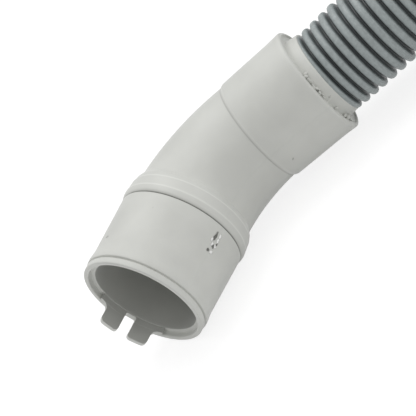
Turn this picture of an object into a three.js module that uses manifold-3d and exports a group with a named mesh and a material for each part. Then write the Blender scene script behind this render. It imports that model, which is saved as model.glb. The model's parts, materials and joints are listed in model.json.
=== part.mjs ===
// A dishwasher drain hose, lying on a flat surface as it comes to rest.
// A rubber elbow cuff, moulded in one piece, ends in a socket with two locating tabs. A corrugated plastic
// hose leaves its sleeve, settles on the surface, winds into a round coil and ends in a straight cuff on top.
// Millimetres and degrees, +Z up. The origin is on the surface, under the middle of the elbow cuff.

import * as THREE from "three";
import { mergeVertices } from "three/addons/utils/BufferGeometryUtils.js";
import Module from "manifold-3d";

// Centreline of the elbow cuff: out of the mouth along +X, round the bend towards -Y, straight to its end.
const mouthToBend = 29;
const bendRadius = 38.2;
const bendAngle = 43.6;
const sleeveLength = 21.7;

// Inside of the socket.
const socketRadius = 14.6;
const shoulderWidth = 1.2; // how much wider the mouth is than the socket
const shoulderDepth = 1.7; // the wider mouth ends at a shoulder
const socketDepth = 23;
const socketCone = 4;
const socketStop = 1.8; // how much the bore behind the socket is smaller than the socket

// Mouth lip, and the small groove behind it.
const lipWall = 1.4; // wall of the lip outside the wider mouth
const lipLength = 1.8;
const lipEdge = 0.35; // rounding of the lip's edges
const lipGroove = 0.45; // depth of the groove below the lip
const lipGrooveWidth = 0.5;
const lipBead = 0.35; // how far the low bead behind the groove stands above the clamp seat
const lipBeadLength = 3.4;

// Clamp seat, and the collar that stops the hose clamp: a ridge, a broad band, and a cone down to the tube.
const seatWall = 2.55; // wall of the clamp seat outside the socket
const seatDraft = 0.2; // how much wider the seat is at the collar than at the lip
const collarStart = 23.2; // distance from the mouth to the foot of the collar
const collarHeight = 0.4;
const ridgeLength = 2.1;
const ridgeEdge = 0.7; // length over which the ridge rises from its foot
const bandStep = 0.14; // how far the band lies below the ridge
const bandLength = 3.3;
const bandDrop = 0.3; // how far the band runs down along its length
const collarCone = 2.7; // length over which the collar runs down to the tube

// Tube round the bend, and the thicker sleeve that holds the hose.
const tubeWallAtCollar = 3.3;
const tubeWallAtSleeve = 3;
const sleeveStep = 1.0; // length of the small step up to the sleeve
const sleeveWall = 2.75; // wall of the sleeve outside the hose
const sleeveDraft = 0.2; // how much wider the sleeve is where its flared end starts
const sleeveFlare = 0.3; // how much wider the flared end is than that
const sleeveFlareLength = 4.5;
const sleeveEdge = 1.0; // rounding of the sleeve's outer edge
const boreStep = 3; // length of the step down to the bore of the hose

// Locating tabs at the mouth: a plate with a slot, flush with the socket, on a thick stretch of the lip.
const tabsAngle = -27; // turn about the socket axis, from the outer side of the bend
const tabsWidth = 13.6;
const tabsLength = 4.6;
const tabThickness = 1.9;
const tabCorner = 1.0;
const tabFillet = 1.4;
const slotWidth = 3;
const slotDepth = 1.5; // how far the slot runs into the lip
const slotCorner = 0.5;
const padWidth = 18.6;

// Corrugated hose, and how it leaves the sleeve.
const hoseRadius = 12.8;
const hoseWall = 2.6; // from the ribs' crests to the bore
const hoseStop = 0.8; // how much the cuff's bore is smaller than the hose that it stops
const hoseLean = 2.6; // the hose leans back from the sleeve's axis, in the plane of the bend
const hoseRise = 1.1; // and up from the surface

// End face of the sleeve: a ring-shaped groove round the hose's neck, bridged at the parting line.
const rimWidth = 1.05;
const grooveDepth = 0.8;
const neckReach = 1.4; // the neck stands this far out of the sleeve's end
const neckFoot = 0.1; // how much wider than the hose the neck's foot is
const neckTaper = 0.3; // how much the neck narrows to its end
const bridgeWidth = 0.6;
const bridgeDrop = 0.3; // how far the bridge lies below the rim

// Coil of the length that is put away: turns side by side, and the straight cuff that lies on them.
const coilMiddleRadius = 134.5;
const coilTurnStep = 26;
const endCuffLength = 50;
const endCuffRadius = 14.6;
const endCuffBead = 0.9;
const endCuffBeadLength = 3;
const endCuffEdge = 0.5;
const endCuffBore = 10.75;
const endCuffBoreDepth = 32;

// Face-to-face clearance between pieces that touch.
const gap = 0.3;

// Fineness of the faceted solids.
const aroundCuff = 60;
const bendSteps = 12;
const aroundEndCuff = 40;
const aroundCoil = 64;
const coilSectionSteps = 6;
const aroundHose = 12;
const weld = 1e-4; // vertices closer than this are one
const overrun = 2; // how far a cutting solid runs past what it cuts
const bondOverlap = 0.8; // how far a joined feature reaches into its wall
const halfwayRise = 0.7; // a rounded step has this share of its height halfway along it

// Radii that follow from the socket and from the hose.
const mouthRadius = socketRadius + shoulderWidth;
const lipRadius = mouthRadius + lipWall;
const seatRadius = socketRadius + seatWall;
const collarFoot = seatRadius + seatDraft;
const ridgeRadius = collarFoot + collarHeight;
const bandRadius = ridgeRadius - bandStep;
const boreAtCollar = socketRadius - socketStop;
const boreAtSleeve = hoseRadius - hoseStop;
const tubeAtCollar = boreAtCollar + tubeWallAtCollar;
const tubeAtSleeve = boreAtSleeve + tubeWallAtSleeve;
const sleeveRadius = hoseRadius + sleeveWall;
const sleeveEnd = sleeveRadius + sleeveDraft + sleeveFlare;
const hoseBore = hoseRadius - hoseWall;
const grooveOuter = sleeveEnd - rimWidth;
const neckRadius = hoseRadius + neckFoot;

// Route of the hose from the sleeve to the coil: east and north of where it leaves the sleeve, and how far it
// has settled from the height of the sleeve's axis, 0, to lying on the surface, 1. At first it still rises.
const leadRoute = [
  [-0.1, -0.2, 0.08],
  [11.2, -10.0, 0.02],
  [22.5, -19.8, -0.04],
  [33.9, -29.7, -0.07],
  [49.0, -42.8, 0.04],
  [64.0, -55.9, 0.28],
  [80.7, -70.4, 0.62],
  [97.3, -84.8, 0.91],
];
const leadHeading = -41; // direction in which it runs on and meets the coil
const leadRunOn = 22; // it reaches the outer turn this far past the last point

// Route of the free end, which climbs over the coil: east and north of the coil's centre, and how far it has
// risen from lying on the surface, 0, to the height of the straight cuff's axis, 1.
const tailRoute = [
  [121.2, -9.9, 0.1],
  [120.4, 19.4, 0.28],
  [113.5, 48.0, 0.49],
  [99.9, 74.1, 0.71],
  [80.8, 96.5, 0.88],
  [57.1, 114.0, 0.98],
  [30.1, 125.7, 1],
  [1.2, 131.1, 1],
  [-7.9, 131.4, 1],
  [-21.9, 131.4, 1],
];

const wasm = await Module();
wasm.setup();

const rad = THREE.MathUtils.degToRad;
const UP = new THREE.Vector3(0, 0, 1);

// A closed geometry as a solid that can be joined and cut.
function solidOf(geometry) {
  const bare = geometry.index ? geometry.toNonIndexed() : geometry.clone();
  bare.deleteAttribute("normal");
  bare.deleteAttribute("uv");
  const merged = mergeVertices(bare, weld);
  return new wasm.Manifold(
    new wasm.Mesh({
      numProp: 3,
      vertProperties: merged.attributes.position.array,
      triVerts: new Uint32Array(merged.index.array),
    }),
  );
}

function geometryOf(solid) {
  const mesh = solid.getMesh();
  const geometry = new THREE.BufferGeometry();
  geometry.setAttribute("position", new THREE.BufferAttribute(mesh.vertProperties, 3));
  geometry.setIndex(new THREE.BufferAttribute(mesh.triVerts, 1));
  geometry.computeVertexNormals();
  return geometry;
}

// Place on the elbow's centreline at a distance from the mouth: a point, the way the line runs there, and the
// way to the outer side of the bend.
const bendLength = bendRadius * rad(bendAngle);
const sleeveStart = mouthToBend + bendLength;
const cuffLength = sleeveStart + sleeveLength;

function centreline(distance) {
  const turned = THREE.MathUtils.clamp((distance - mouthToBend) / bendRadius, 0, rad(bendAngle));
  const along = new THREE.Vector3(Math.cos(turned), -Math.sin(turned), 0);
  const outward = new THREE.Vector3(Math.sin(turned), Math.cos(turned), 0);
  const straight = distance - THREE.MathUtils.clamp(distance, mouthToBend, sleeveStart);
  const point = new THREE.Vector3(
    mouthToBend + bendRadius * Math.sin(turned),
    -bendRadius * (1 - Math.cos(turned)),
    0,
  ).addScaledVector(along, straight);
  return { point, along, outward };
}

// A profile of [distance from the mouth, radius] points, turned round the axis and then bent with the cuff.
function turnedAndBent(profile) {
  const closed = [...profile, profile[0]].map(([distance, radius]) => new THREE.Vector2(radius, distance));
  const geometry = new THREE.LatheGeometry(closed, aroundCuff);
  const position = geometry.attributes.position;
  const place = new THREE.Vector3();
  for (let i = 0; i < position.count; i++) {
    const { point, outward } = centreline(position.getY(i));
    place.copy(point);
    place.addScaledVector(outward, position.getX(i));
    place.addScaledVector(UP, -position.getZ(i));
    position.setXYZ(i, place.x, place.y, place.z);
  }
  return solidOf(geometry);
}

// Profile points of a stretch whose radius changes evenly, with enough steps to follow the bend.
function evenStretch(from, to, radiusFrom, radiusTo) {
  const points = [];
  for (let i = 0; i <= bendSteps; i++) {
    const share = i / bendSteps;
    points.push([from + (to - from) * share, radiusFrom + (radiusTo - radiusFrom) * share]);
  }
  return points;
}

// Profile points of a rounded edge: a circular arc about a centre, from one direction to another.
function roundedEdge(distance, radius, rounding, fromAngle, toAngle, steps = 3) {
  const points = [];
  for (let i = 0; i <= steps; i++) {
    const angle = rad(fromAngle + ((toAngle - fromAngle) * i) / steps);
    points.push([distance + rounding * Math.cos(angle), radius + rounding * Math.sin(angle)]);
  }
  return points;
}

// The moulded body: outside from the mouth to the neck in the sleeve's end, then inside back to the mouth.
function cuffBody() {
  const beadStart = lipLength + lipGrooveWidth;
  const bandStart = collarStart + ridgeLength;
  const bandEnd = bandStart + bandLength;
  const flareStart = cuffLength - sleeveFlareLength;
  const outside = [
    ...roundedEdge(lipEdge, lipRadius - lipEdge, lipEdge, 180, 90),
    [lipLength, lipRadius],
    [lipLength + lipGrooveWidth / 2, lipRadius - lipGroove],
    [beadStart, seatRadius + lipBead / 2],
    [beadStart + lipBeadLength / 4, seatRadius + lipBead],
    [beadStart + lipBeadLength / 2, seatRadius + lipBead * halfwayRise],
    [beadStart + lipBeadLength, seatRadius],
    [collarStart, collarFoot],
    [collarStart + ridgeEdge / 2, collarFoot + collarHeight * halfwayRise],
    [collarStart + ridgeEdge, ridgeRadius],
    [bandStart - ridgeEdge / 2, ridgeRadius],
    [bandStart, bandRadius],
    [bandEnd, bandRadius - bandDrop],
    ...evenStretch(bandEnd + collarCone, sleeveStart, tubeAtCollar, tubeAtSleeve),
    [sleeveStart + sleeveStep / 2, tubeAtSleeve + (sleeveRadius - tubeAtSleeve) * halfwayRise],
    [sleeveStart + sleeveStep, sleeveRadius],
    [flareStart, sleeveRadius + sleeveDraft],
    ...roundedEdge(cuffLength - sleeveEdge, sleeveEnd - sleeveEdge, sleeveEdge, 90, 30),
  ];
  const endFace = [
    [cuffLength, grooveOuter],
    [cuffLength - grooveDepth, grooveOuter],
    [cuffLength - grooveDepth, neckRadius],
    [cuffLength + neckReach, neckRadius - neckTaper],
  ];
  const inside = [
    [cuffLength + neckReach, hoseBore],
    [sleeveStart + boreStep, hoseBore],
    ...evenStretch(sleeveStart, socketDepth + socketCone, boreAtSleeve, boreAtCollar),
    [socketDepth, socketRadius],
    [shoulderDepth, socketRadius],
    [shoulderDepth, mouthRadius],
    ...roundedEdge(lipEdge, mouthRadius + lipEdge, lipEdge, 270, 180),
  ];
  return turnedAndBent([...outside, ...endFace, ...inside]);
}

// A ring between two radii, in line with the socket.
function socketRing(inner, outer, from, to) {
  return turnedAndBent([
    [from, inner],
    [from, outer],
    [to, outer],
    [to, inner],
  ]);
}

// A flat outline at the mouth, extruded away from the socket axis through the wall. The outline's x runs
// across the tabs and its y out of the mouth.
function throughWall(outline) {
  const radial = new THREE.Vector3(0, Math.cos(rad(tabsAngle)), Math.sin(rad(tabsAngle)));
  const outOfMouth = new THREE.Vector3(-1, 0, 0);
  const across = new THREE.Vector3().crossVectors(outOfMouth, radial);
  const geometry = new THREE.ExtrudeGeometry(outline, {
    depth: lipRadius + overrun,
    bevelEnabled: false,
    curveSegments: 4,
  });
  geometry.applyMatrix4(new THREE.Matrix4().makeBasis(across, outOfMouth, radial));
  return solidOf(geometry);
}

function tabsOutline() {
  const half = tabsWidth / 2;
  const outline = new THREE.Shape();
  outline.moveTo(-half - tabFillet, -shoulderDepth - bondOverlap);
  outline.lineTo(-half - tabFillet, 0);
  outline.absarc(-half - tabFillet, tabFillet, tabFillet, rad(-90), 0, false);
  outline.absarc(-half + tabCorner, tabsLength - tabCorner, tabCorner, rad(180), rad(90), true);
  outline.absarc(half - tabCorner, tabsLength - tabCorner, tabCorner, rad(90), 0, true);
  outline.absarc(half + tabFillet, tabFillet, tabFillet, rad(180), rad(270), false);
  outline.lineTo(half + tabFillet, -shoulderDepth - bondOverlap);
  outline.closePath();
  return outline;
}

function padOutline() {
  const outline = new THREE.Shape();
  outline.moveTo(-padWidth / 2, -shoulderDepth - bondOverlap);
  outline.lineTo(padWidth / 2, -shoulderDepth - bondOverlap);
  outline.lineTo(padWidth / 2, 0);
  outline.lineTo(-padWidth / 2, 0);
  outline.closePath();
  return outline;
}

// The slot between the tabs: rounded at its bottom, and flared where the tabs' tips are rounded.
function slotOutline() {
  const half = slotWidth / 2;
  const outline = new THREE.Shape();
  outline.moveTo(-half - tabCorner, tabsLength + overrun);
  outline.lineTo(-half - tabCorner, tabsLength);
  outline.absarc(-half - tabCorner, tabsLength - tabCorner, tabCorner, rad(90), 0, true);
  outline.absarc(-half + slotCorner, slotCorner - slotDepth, slotCorner, rad(180), rad(270), false);
  outline.absarc(half - slotCorner, slotCorner - slotDepth, slotCorner, rad(270), rad(360), false);
  outline.absarc(half + tabCorner, tabsLength - tabCorner, tabCorner, rad(180), rad(90), true);
  outline.lineTo(half + tabCorner, tabsLength + overrun);
  outline.closePath();
  return outline;
}

// The hose's axis where it leaves the sleeve.
const exit = centreline(cuffLength);
const hoseWay = exit.along
  .clone()
  .applyAxisAngle(UP, rad(hoseLean))
  .multiplyScalar(Math.cos(rad(hoseRise)))
  .addScaledVector(UP, Math.sin(rad(hoseRise)));

// A thin bridge across the end groove, on the parting line on the inner side of the bend.
function grooveBridge() {
  const grooveWidth = grooveOuter - neckRadius;
  const grooveMiddle = neckRadius + grooveWidth / 2;
  const depth = grooveDepth - bridgeDrop + bondOverlap;
  const geometry = new THREE.BoxGeometry(depth, grooveWidth + bondOverlap, bridgeWidth);
  geometry.translate(-bridgeDrop - depth / 2, -grooveMiddle, 0);
  geometry.applyMatrix4(new THREE.Matrix4().makeBasis(exit.along, exit.outward, UP));
  geometry.translate(exit.point.x, exit.point.y, exit.point.z);
  return solidOf(geometry);
}

function elbowCuff() {
  const tabRing = socketRing(
    socketRadius,
    socketRadius + tabThickness,
    -tabsLength - overrun,
    shoulderDepth + bondOverlap,
  );
  const padRing = socketRing(socketRadius, mouthRadius + bondOverlap, 0, shoulderDepth + bondOverlap);
  return cuffBody()
    .add(throughWall(tabsOutline()).intersect(tabRing))
    .add(throughWall(padOutline()).intersect(padRing))
    .add(grooveBridge())
    .subtract(throughWall(slotOutline()));
}

// Where the cuff lies: its collar rests on the surface, and the origin is under the middle of its outline.
const axisHeight = ridgeRadius;
const cornerReach = centreline(cuffLength - sleeveEdge).point;
const sideways = exit.outward.clone().multiplyScalar(sleeveEnd - sleeveEdge);
const eastEnd = cornerReach.x + sideways.x + sleeveEdge;
const southEnd = cornerReach.y - sideways.y - sleeveEdge;
const cuffPlace = new THREE.Vector3((tabsLength - eastEnd) / 2, -(axisHeight + southEnd) / 2, axisHeight);
const exitPlace = exit.point.clone().add(cuffPlace);

// Coil: the lead runs on into its outer turn, and its section is the outline of turns side by side.
const outerTurn = coilMiddleRadius + coilTurnStep / 2;
const innerTurn = coilMiddleRadius - coilTurnStep / 2;
const [leadEast, leadNorth] = leadRoute[leadRoute.length - 1];
const coilCentre = new THREE.Vector2(leadRunOn, outerTurn)
  .rotateAround(new THREE.Vector2(), rad(leadHeading))
  .add(new THREE.Vector2(exitPlace.x + leadEast, exitPlace.y + leadNorth));

function coilRing() {
  const section = [
    ...roundedEdge(hoseRadius, outerTurn, hoseRadius, 180, 0, 2 * coilSectionSteps),
    ...roundedEdge(hoseRadius, innerTurn, hoseRadius, 0, -180, 2 * coilSectionSteps),
  ];
  const closed = [...section, section[0]].map(([height, radius]) => new THREE.Vector2(radius, height));
  const geometry = new THREE.LatheGeometry(closed, aroundCoil);
  geometry.rotateX(rad(90));
  geometry.translate(coilCentre.x, coilCentre.y, 0);
  return solidOf(geometry);
}

// The room that the coil takes, with its clearance: an upright drum to above the hose that meets it.
function coilRoom() {
  const radius = outerTurn + hoseRadius + gap;
  const geometry = new THREE.CylinderGeometry(radius, radius, 4 * axisHeight, aroundCoil);
  geometry.rotateX(rad(90));
  geometry.translate(coilCentre.x, coilCentre.y, 0);
  return solidOf(geometry);
}

// A stretch of the hose along a smooth curve through its route.
function hoseTube(points) {
  const section = new THREE.Shape().absarc(0, 0, hoseRadius, 0, rad(360), false);
  section.holes.push(new THREE.Path().absarc(0, 0, hoseBore, 0, rad(360), true));
  const geometry = new THREE.ExtrudeGeometry(section, {
    extrudePath: new THREE.CatmullRomCurve3(points, false, "centripetal"),
    steps: points.length - 1,
    curveSegments: aroundHose / 2,
    bevelEnabled: false,
  });
  return solidOf(geometry);
}

const leadPoints = leadRoute.map(
  ([east, north, settled]) =>
    new THREE.Vector3(
      exitPlace.x + east,
      exitPlace.y + north,
      THREE.MathUtils.lerp(axisHeight, hoseRadius, settled),
    ),
);
const leaning = hoseRadius * Math.sin(exit.along.angleTo(hoseWay)); // how far its end face leans back
leadPoints[0].addScaledVector(hoseWay, neckReach + gap + leaning);

// The straight cuff lies on the coil, and only what stands above the coil is a solid of its own.
const aboveCoil = 2 * hoseRadius + gap;
const endCuffHeight = aboveCoil + endCuffRadius + endCuffBead;
const tailPoints = tailRoute.map(
  ([east, north, risen]) =>
    new THREE.Vector3(
      coilCentre.x + east,
      coilCentre.y + north,
      THREE.MathUtils.lerp(hoseRadius, endCuffHeight, risen),
    ),
);

// The straight cuff: a turned profile from the hose's end to its mouth, with a bead round the mouth.
function endCuff() {
  const mouth = endCuffLength;
  const beadRadius = endCuffRadius + endCuffBead;
  const profile = [
    [0, hoseBore],
    ...roundedEdge(endCuffEdge, endCuffRadius - endCuffEdge, endCuffEdge, 180, 90, 2),
    [mouth - 1.5 * endCuffBeadLength, endCuffRadius],
    [mouth - endCuffBeadLength, beadRadius],
    ...roundedEdge(mouth - endCuffEdge, beadRadius - endCuffEdge, endCuffEdge, 90, 0, 2),
    ...roundedEdge(mouth - endCuffEdge, endCuffBore + endCuffEdge, endCuffEdge, 0, -90, 2),
    [mouth - endCuffBoreDepth, endCuffBore],
    [mouth - endCuffBoreDepth, hoseBore],
  ];
  const closed = [...profile, profile[0]].map(([distance, radius]) => new THREE.Vector2(radius, distance));
  const geometry = new THREE.LatheGeometry(closed, aroundEndCuff);
  geometry.rotateZ(rad(90));
  return solidOf(geometry);
}

const cuffRubber = new THREE.MeshStandardMaterial({ color: 0xc9cac5, roughness: 0.55, metalness: 0 });
const hosePlastic = new THREE.MeshStandardMaterial({ color: 0x9ba2a1, roughness: 0.45, metalness: 0 });

function named(name, solid, material) {
  const mesh = new THREE.Mesh(geometryOf(solid), material);
  mesh.name = name;
  return mesh;
}

const drainHose = new THREE.Group();

const elbow = named("elbow_cuff", elbowCuff(), cuffRubber);
elbow.position.copy(cuffPlace);

const lead = named("hose_lead", hoseTube(leadPoints).subtract(coilRoom()), hosePlastic);
const coil = named("hose_coil", coilRing(), hosePlastic);
const tail = named("hose_tail", hoseTube(tailPoints).trimByPlane([0, 0, 1], aboveCoil), hosePlastic);

const farEnd = tailPoints[tailPoints.length - 1];
const straightCuff = named("end_cuff", endCuff(), cuffRubber);
straightCuff.position.set(farEnd.x - gap, farEnd.y, farEnd.z);

drainHose.add(elbow, lead, coil, tail, straightCuff);

export default drainHose;
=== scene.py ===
# %% [markdown]
# A dishwasher drain hose, dressed for a picture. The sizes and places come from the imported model, and this
# script adds the looks: the corrugated hose, the moulded rubber cuffs with their finest steps and edges, the
# wire ties, the materials and the light.

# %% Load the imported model
import json
from math import cos, hypot, pi, radians, sin, sqrt, tau

import bmesh
import bpy
from mathutils import Matrix, Vector

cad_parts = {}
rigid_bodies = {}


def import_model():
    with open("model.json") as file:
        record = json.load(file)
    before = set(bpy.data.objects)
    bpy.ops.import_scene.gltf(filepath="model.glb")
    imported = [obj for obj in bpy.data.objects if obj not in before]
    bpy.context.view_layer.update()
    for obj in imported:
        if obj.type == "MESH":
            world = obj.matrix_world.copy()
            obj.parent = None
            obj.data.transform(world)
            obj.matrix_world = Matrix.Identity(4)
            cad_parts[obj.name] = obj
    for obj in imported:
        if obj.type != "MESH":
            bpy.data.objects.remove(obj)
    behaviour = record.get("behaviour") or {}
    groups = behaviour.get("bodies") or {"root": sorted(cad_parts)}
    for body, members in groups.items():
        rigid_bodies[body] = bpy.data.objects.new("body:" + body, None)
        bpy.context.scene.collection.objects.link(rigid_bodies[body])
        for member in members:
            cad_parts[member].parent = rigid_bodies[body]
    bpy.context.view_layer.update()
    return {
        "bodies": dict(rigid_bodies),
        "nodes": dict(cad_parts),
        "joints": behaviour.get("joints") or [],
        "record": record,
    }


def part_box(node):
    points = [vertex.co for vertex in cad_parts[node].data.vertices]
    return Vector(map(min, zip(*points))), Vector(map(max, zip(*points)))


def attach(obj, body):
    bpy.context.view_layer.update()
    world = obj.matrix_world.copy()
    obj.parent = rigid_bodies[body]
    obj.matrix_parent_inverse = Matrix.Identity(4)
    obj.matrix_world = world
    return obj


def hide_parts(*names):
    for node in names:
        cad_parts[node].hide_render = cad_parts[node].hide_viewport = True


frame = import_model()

MM = 0.001
print("nodes:", sorted(frame["nodes"]))

# %% [markdown]
# The camera stands about where the photograph was taken from: high on the mouth's side of the cuff, far away with
# a long lens, and rolled, so that the cuff runs up the picture. It is placed by its three axes, because a
# rolled camera is easier to set exactly that way than by angles.

# %% Camera
camera_right = Vector((0.4309, -0.6197, -0.6560))
camera_up = Vector((0.7962, -0.0810, 0.5995))
camera_forward = Vector((0.4247, 0.7807, -0.4585))
camera_data = bpy.data.cameras.new("camera")
camera_data.lens = 298.8
camera_data.sensor_width = 36
camera = bpy.data.objects.new("camera", camera_data)
turn = Matrix((camera_right, camera_up, -camera_forward)).transposed().to_4x4()
camera.matrix_world = Matrix.Translation((-0.39395, -0.70566, 0.43386)) @ turn
bpy.context.scene.collection.objects.link(camera)
bpy.context.scene.camera = camera
print("camera lens", camera_data.lens)

# %% [markdown]
# Everything hangs on the elbow cuff's centreline: straight from the mouth, round the bend, and straight to
# the end of the sleeve. The same driving sizes give the place where the hose leaves the cuff. The cuff's own
# place is read from the box of its node: the tabs reach furthest out of the mouth, and the collar is widest.

# %% The cuff's centreline and place
mouth_to_bend = 29 * MM
bend_radius = 38.2 * MM
bend_angle = radians(43.6)
sleeve_length = 21.7 * MM
tabs_length = 4.6 * MM
ridge_radius = 17.75 * MM  # the collar rests on the floor

bend_length = bend_radius * bend_angle
sleeve_start = mouth_to_bend + bend_length
cuff_length = sleeve_start + sleeve_length

cuff_low, cuff_high = (Vector(corner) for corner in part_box("elbow_cuff"))
cuff_place = Vector((cuff_low.x + tabs_length, cuff_high.y - ridge_radius, ridge_radius))

along_end = Vector((cos(bend_angle), -sin(bend_angle), 0))
exit_place = cuff_place + Vector((
    mouth_to_bend + bend_radius * sin(bend_angle),
    -bend_radius * (1 - cos(bend_angle)),
    0,
)) + along_end * sleeve_length
print("the hose leaves the cuff at", [round(value / MM, 2) for value in exit_place])

# %% [markdown]
# The hose is a cord in three stretches. The lead leaves the cuff and settles on the floor, the coil puts the
# rest of the length away, and the free end climbs on to the coil and ends in a straight cuff. The lead and the
# free end are short lists of points, and the coil is a loop. One smooth curve goes through them all.

# %% Route of the hose
hose_radius = 12.8 * MM
lead_route = [
    (-0.1, -0.2, 0.08),
    (11.2, -10.0, 0.02),
    (22.5, -19.8, -0.04),
    (33.9, -29.7, -0.07),
    (49.0, -42.8, 0.04),
    (64.0, -55.9, 0.28),
    (80.7, -70.4, 0.62),
    (97.3, -84.8, 0.91),
]
lead_heading = radians(-41)
lead_run_on = 22 * MM
outer_turn = 147.5 * MM
turn_step = 26 * MM
coil_end = 465  # degrees of winding, in steps of 15
tail_route = [
    (121.2, -9.9, 0.1),
    (120.4, 19.4, 0.28),
    (113.5, 48.0, 0.49),
    (99.9, 74.1, 0.71),
    (80.8, 96.5, 0.88),
    (57.1, 114.0, 0.98),
    (30.1, 125.7, 1),
    (1.2, 131.1, 1),
    (-7.9, 131.4, 1),
    (-21.9, 131.4, 1),
]
end_low, end_high = (Vector(corner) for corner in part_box("end_cuff"))
end_cuff_height = (end_low.z + end_high.z) / 2

lead_end = exit_place + Vector((lead_route[-1][0], lead_route[-1][1], 0)) * MM
coil_side = Vector((-sin(lead_heading), cos(lead_heading), 0))
coil_along = Vector((cos(lead_heading), sin(lead_heading), 0))
coil_centre = lead_end + coil_along * lead_run_on + coil_side * outer_turn
coil_centre.z = 0


def turn_radius(winding):
    """Radius of the coil after some degrees of winding: each turn closes in by one step."""
    if winding > 360:
        return turn_radius(winding - 360) - turn_step
    share = min(max((winding - 115) / 230, 0), 1)
    return outer_turn - turn_step / 2 * (1 - cos(pi * share))


def coil_point(winding):
    direction = lead_heading - pi / 2 + radians(winding)
    radius = turn_radius(winding)
    return coil_centre + Vector((radius * cos(direction), radius * sin(direction), hose_radius))


route = []
for east, north, settled in lead_route:
    height = exit_place.z + (hose_radius - exit_place.z) * settled
    route.append(Vector((exit_place.x + east * MM, exit_place.y + north * MM, height)))
for winding in range(0, coil_end + 1, 15):
    route.append(coil_point(winding))
for east, north, risen in tail_route:
    height = hose_radius + (end_cuff_height - hose_radius) * risen
    route.append(Vector((coil_centre.x + east * MM, coil_centre.y + north * MM, height)))
print("route:", len(route), "points, coil centre", [round(value, 4) for value in coil_centre])

# %% [markdown]
# A curve through points that lie unevenly is kept from bulging when each stretch is timed by the square root
# of its length. The curve is then walked with a fine step, so that any distance along it can be looked up.


# %% A smooth curve through the route
def blend_point(first, second, from_time, to_time, time):
    share = (time - from_time) / (to_time - from_time)
    return first.lerp(second, share)


def smooth_curve(points, steps=24):
    padded = [points[0] * 2 - points[1], *points, points[-1] * 2 - points[-2]]
    walked = []
    for a, b, c, d in zip(padded, padded[1:], padded[2:], padded[3:]):
        times = [0.0]
        for start, end in ((a, b), (b, c), (c, d)):
            times.append(times[-1] + sqrt((end - start).length))
        for i in range(steps):
            time = times[1] + (times[2] - times[1]) * i / steps
            first = blend_point(a, b, times[0], times[1], time)
            second = blend_point(b, c, times[1], times[2], time)
            third = blend_point(c, d, times[2], times[3], time)
            early = blend_point(first, second, times[0], times[2], time)
            late = blend_point(second, third, times[1], times[3], time)
            walked.append(blend_point(early, late, times[1], times[2], time))
    walked.append(points[-1].copy())
    return walked


walked = smooth_curve(route)
for place in walked:
    place.z = max(place.z, hose_radius)  # between two points on the floor the curve may dip a hair
walked_lengths = [0.0]
for start, end in zip(walked, walked[1:]):
    walked_lengths.append(walked_lengths[-1] + (end - start).length)
hose_length = walked_lengths[-1]
print("length of the hose: %.3f m" % hose_length)

# %% [markdown]
# Corrugated hose is blown into a mould with closely spaced grooves: broad rounded ribs with narrow, deep gaps
# between them. The whole pattern is one rib profile repeated along the curve, each corner of it a ring round
# the hose. Next to the cuff the ribs are squeezed together and a little lower. The first stretch, which the
# camera sees close by, gets ten rings to a rib, and the coil gets five.

# %% Rings of the corrugated hose
first_gaps = [4.12, 7.1, 10.14, 13.3, 16.7, 20.02, 23.42, 26.96]  # from the end of the sleeve
rib_pitch = 3.4 * MM
fine_ribs = 14
around_hose = 38
# Each corner of a rib: its share of the way from gap to gap, and how far it lies below the crest.
fine_rib = [(0.1, 1.9), (0.14, 1.2), (0.18, 0.6), (0.26, 0.18), (0.38, 0.0),
            (0.62, 0.0), (0.74, 0.18), (0.82, 0.6), (0.86, 1.2), (0.9, 1.9)]
coarse_rib = [(0.02, 1.9), (0.17, 0.6), (0.34, 0.0), (0.66, 0.0), (0.83, 0.6)]

gaps = [distance * MM for distance in first_gaps]
while gaps[-1] + 2 * rib_pitch < hose_length:
    gaps.append(gaps[-1] + rib_pitch)


def crest_radius(distance):
    """Radius of the crests: lower next to the cuff, and a hair over the mean where the camera is close."""
    from_cuff = 12.5 * MM + 0.4 * MM * min(distance / (15 * MM), 1)
    settled = min(max((distance / MM - 30) / 30, 0), 1)
    return from_cuff + (hose_radius - from_cuff) * settled


# A ring is its distance along the hose, its radius, and its place in the rib pattern.
rings = [(distance * MM, radius * MM, share) for distance, radius, share in (
    (0.9, 11.9, -0.7), (2.7, 12.35, -0.5), (3.2, 12.42, -0.34), (3.45, 12.25, -0.25), (3.62, 11.8, -0.16),
    (3.75, 11.2, -0.12), (3.85, 10.8, -0.08))]
for rib, (gap, next_gap) in enumerate(zip(gaps, gaps[1:])):
    for share, drop in fine_rib if rib < fine_ribs else coarse_rib:
        distance = gap + (next_gap - gap) * share
        rings.append((distance, crest_radius(distance) - drop * MM, rib + share))
rings.append((hose_length - 0.2 * MM, 12.6 * MM, len(gaps) - 0.5))
print(len(gaps) - 1, "ribs,", len(rings), "rings")

# %% [markdown]
# Each ring stands square to the curve. Its first vertex is carried along from ring to ring with the least
# turning, so that the mesh doesn't twist in the bends.


# %% Frames along the hose
def places_on_curve(distances):
    """Place and direction at each distance, which must rise along the list."""
    found = []
    at = 0
    for distance in distances:
        while at < len(walked) - 2 and walked_lengths[at + 1] < distance:
            at += 1
        stretch = walked_lengths[at + 1] - walked_lengths[at]
        share = (distance - walked_lengths[at]) / stretch
        place = walked[at].lerp(walked[at + 1], share)
        before = walked[max(at - 1, 0)]
        after = walked[min(at + 2, len(walked) - 1)]
        found.append((place, (after - before).normalized()))
    return found


def carried_frames(places):
    """A sideways direction at each place, carried along with the least turning."""
    side = Vector((0, 0, 1))
    frames = []
    for place, direction in places:
        side = (side - direction * side.dot(direction)).normalized()
        frames.append((place, side.copy(), direction.cross(side)))
    return frames


ring_frames = carried_frames(places_on_curve([distance for distance, radius, share in rings]))
print("first ring at", [round(value / MM, 2) for value in ring_frames[0][0]])

# %% [markdown]
# The rings are joined to a closed tube with a smooth bore. Every face gets its place in the rib pattern as its own
# UV map while it is made, because only here it is known which rib it belongs to.

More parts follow.
